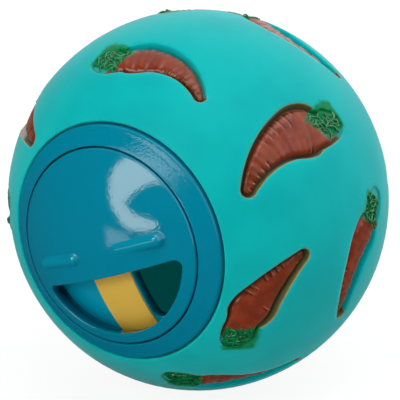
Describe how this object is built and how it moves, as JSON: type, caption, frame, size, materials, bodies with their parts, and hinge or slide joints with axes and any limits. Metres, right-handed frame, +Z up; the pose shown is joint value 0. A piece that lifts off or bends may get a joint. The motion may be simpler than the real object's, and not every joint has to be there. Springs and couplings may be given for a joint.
{
  "type": "treat dispensing ball",
  "caption": "Hollow vinyl ball with sunken carrot reliefs and a domed snap-in cap; a dial with a D-shaped window turns over an inner D opening to let treats out.",
  "frame": {"origin": "lowest point of the ball, where it touches the floor; the ball's centre is 35 mm above it", "axes": "+Z up, -Y along the cap's axis and out through the dial, +X to the right of someone who faces the dial"},
  "size_m": [0.0698, 0.0696, 0.07],
  "materials": {
    "vinyl": "satin",
    "cap_plastic": "gloss",
    "bar_plastic": "satin"
  },
  "bodies": {
    "ball": {"ball_shell": "vinyl", "collar": "cap_plastic", "shutter_plate": "cap_plastic", "crossbar": "bar_plastic"},
    "dial": {"dial": "cap_plastic"}
  },
  "joints": [
    {"name": "dial_turn", "type": "hinge", "parent": "ball", "child": "dial", "pos_m": [0, -0.033, 0.035], "axis": [0, -1, 0], "continuous": true}
  ]
}
